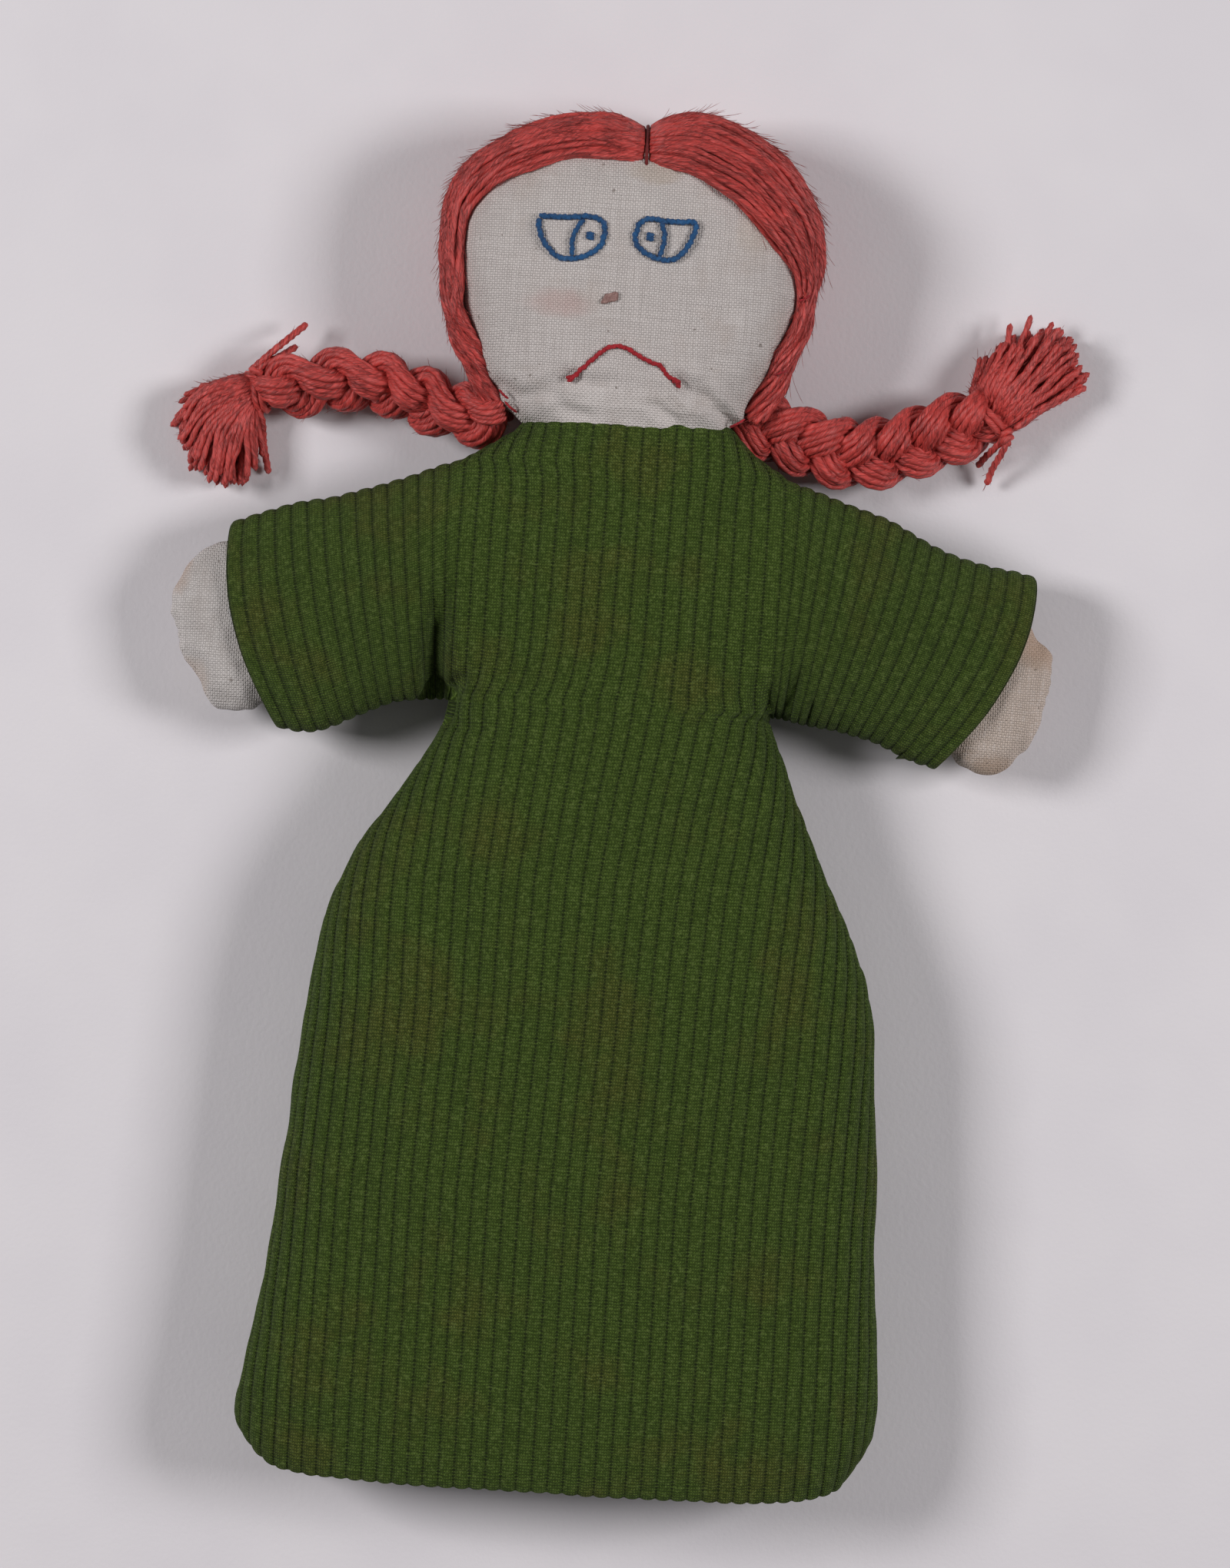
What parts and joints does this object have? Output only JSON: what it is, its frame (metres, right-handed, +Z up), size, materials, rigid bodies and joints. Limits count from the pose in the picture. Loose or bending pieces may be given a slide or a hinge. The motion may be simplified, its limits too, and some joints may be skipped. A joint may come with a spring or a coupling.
{
  "type": "glove puppet",
  "caption": "Sewn glove puppet lying on its back: rib-knit dress with an open hem for a hand, calico head and hands, embroidered face and plaited yarn hair.",
  "frame": {"origin": "on the flat of the dress back, on the surface the puppet lies on, between the shoulders and the waist", "axes": "+X to the viewer's right, +Y from the hem to the head, +Z up out of the face"},
  "size_m": [0.1859, 0.2899, 0.0363],
  "materials": {
    "green_knit": "dull ribbed wool knit",
    "green_thread": "matte sewing thread",
    "calico": "matte plain-weave cotton",
    "wadding": "matte loose fibre",
    "pink_yarn": "matte plied wool",
    "red_thread": "soft sheen cotton thread",
    "brown_thread": "soft sheen cotton thread",
    "blue_thread": "soft sheen cotton thread"
  },
  "bodies": {
    "dress": {"dress_front": "green_knit", "dress_back": "green_knit", "hem_turning": "green_knit", "left_side_seam": "green_thread", "right_side_seam": "green_thread", "neck_seam": "green_thread"},
    "neck": {"neck_cloth": "calico"},
    "head": {"head_front": "calico", "head_back": "calico", "head_stuffing": "wadding", "left_hair": "pink_yarn", "right_hair": "pink_yarn", "parting_stitch": "red_thread", "left_jaw_tack": "red_thread", "right_cheek_tack": "red_thread", "right_jaw_tack": "red_thread", "mouth_stitch": "red_thread", "nose_stitch": "brown_thread", "left_eye_outline": "blue_thread", "left_iris": "blue_thread", "left_pupil": "blue_thread", "right_eye_outline": "blue_thread", "right_iris": "blue_thread", "right_pupil": "blue_thread"},
    "left_shoulder": {"left_armhole": "green_knit"},
    "left_arm": {"left_sleeve_front": "green_knit", "left_sleeve_back": "green_knit", "left_hand_front": "calico", "left_hand_back": "calico"},
    "left_plait": {"left_plait": "pink_yarn", "left_tie": "pink_yarn", "left_tassel": "pink_yarn"},
    "right_shoulder": {"right_armhole": "green_knit"},
    "right_arm": {"right_sleeve_front": "green_knit", "right_sleeve_back": "green_knit", "right_hand_front": "calico", "right_hand_back": "calico"},
    "right_plait": {"right_plait": "pink_yarn", "right_tie": "pink_yarn", "right_tassel": "pink_yarn"}
  },
  "joints": [
    {"name": "neck_turn", "type": "hinge", "parent": "dress", "child": "neck", "pos_m": [0, 0.08, 0.018], "axis": [0, 1, 0], "range_deg": [-35, 35], "deforming": ["neck_cloth"]},
    {"name": "head_nod", "type": "hinge", "parent": "neck", "child": "head", "pos_m": [0, 0.08, 0.018], "axis": [1, 0, 0], "range_deg": [-15, 30], "deforming": ["neck_cloth"]},
    {"name": "left_arm_lift", "type": "hinge", "parent": "dress", "child": "left_shoulder", "pos_m": [-0.036, 0.043, 0.018], "axis": [0, 0, -1], "range_deg": [-20, 20], "deforming": ["left_armhole", "left_tassel"]},
    {"name": "left_arm_fold", "type": "hinge", "parent": "left_shoulder", "child": "left_arm", "pos_m": [-0.05, 0.04, 0.0167], "axis": [0, 1, 0], "range_deg": [-10, 50], "deforming": ["left_armhole"]},
    {"name": "left_plait_swing", "type": "hinge", "parent": "head", "child": "left_plait", "pos_m": [-0.031, 0.086, 0.015], "axis": [0, 0, -1], "range_deg": [-5, 45], "deforming": ["left_tassel"]},
    {"name": "right_arm_lift", "type": "hinge", "parent": "dress", "child": "right_shoulder", "pos_m": [0.036, 0.043, 0.018], "axis": [0, 0, 1], "range_deg": [-20, 20], "deforming": ["right_armhole", "right_tassel"]},
    {"name": "right_arm_fold", "type": "hinge", "parent": "right_shoulder", "child": "right_arm", "pos_m": [0.05, 0.04, 0.0167], "axis": [0, -1, 0], "range_deg": [-10, 50], "deforming": ["right_armhole"]},
    {"name": "right_plait_swing", "type": "hinge", "parent": "head", "child": "right_plait", "pos_m": [0.031, 0.086, 0.015], "axis": [0, 0, 1], "range_deg": [-5, 45], "deforming": ["right_tassel"]}
  ]
}
